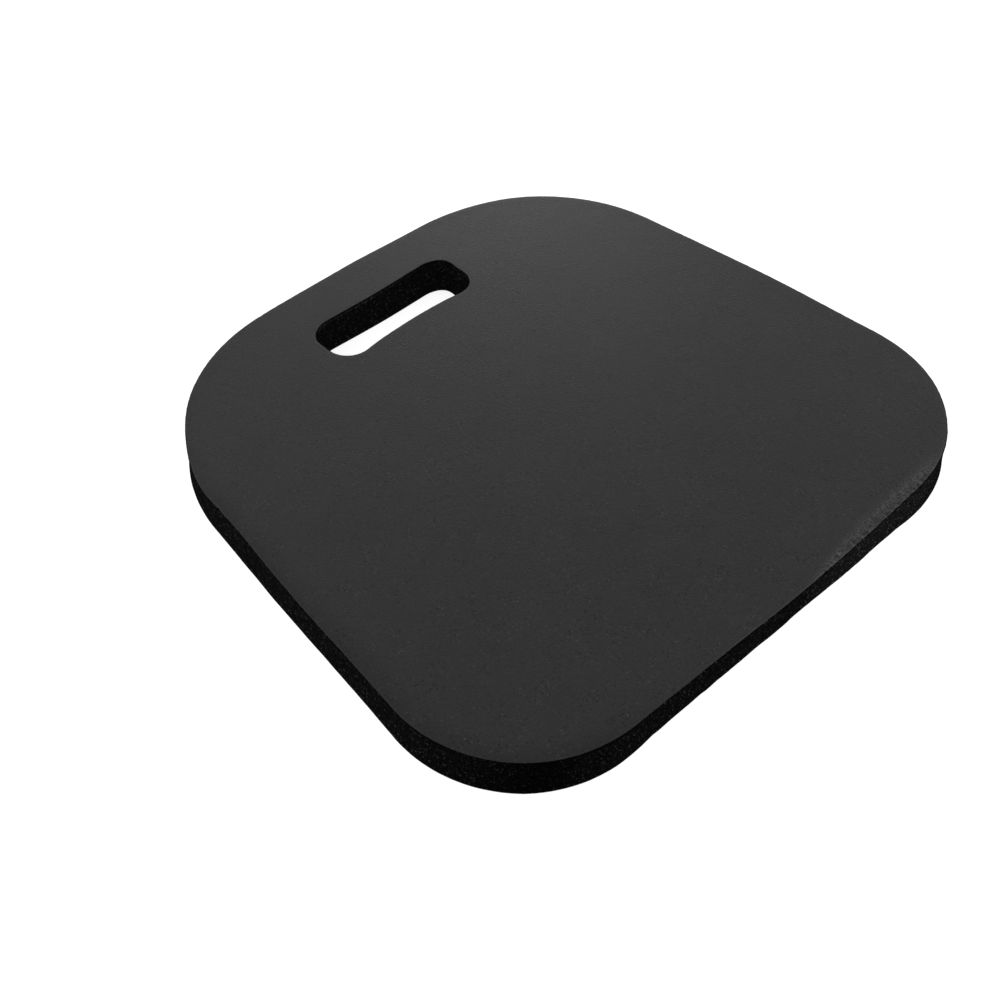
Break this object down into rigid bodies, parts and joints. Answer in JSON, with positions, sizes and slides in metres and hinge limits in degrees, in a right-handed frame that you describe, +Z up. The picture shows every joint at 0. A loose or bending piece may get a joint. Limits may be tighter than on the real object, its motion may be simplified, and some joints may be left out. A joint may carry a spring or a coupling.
{
  "type": "foam kneeling pad",
  "caption": "Flat rounded-square foam kneeling pad with a skinned face, a foam core and a hand slot near one edge.",
  "frame": {"origin": "middle of the pad's outline, on the underside that lies on the ground", "axes": "+Z up out of the kneeling face, +Y towards the end with the hand slot, +X to the right seen from above"},
  "size_m": [0.3199, 0.33, 0.02],
  "materials": {
    "top_skin": "satin dense foam skin with a fine irregular grain",
    "foam": "matt cut closed-cell foam, open cells on the cut walls",
    "bottom_skin": "matt dense foam skin"
  },
  "bodies": {
    "root": {"top_skin": "top_skin", "foam_core": "foam", "bottom_skin": "bottom_skin"}
  },
  "joints": []
}
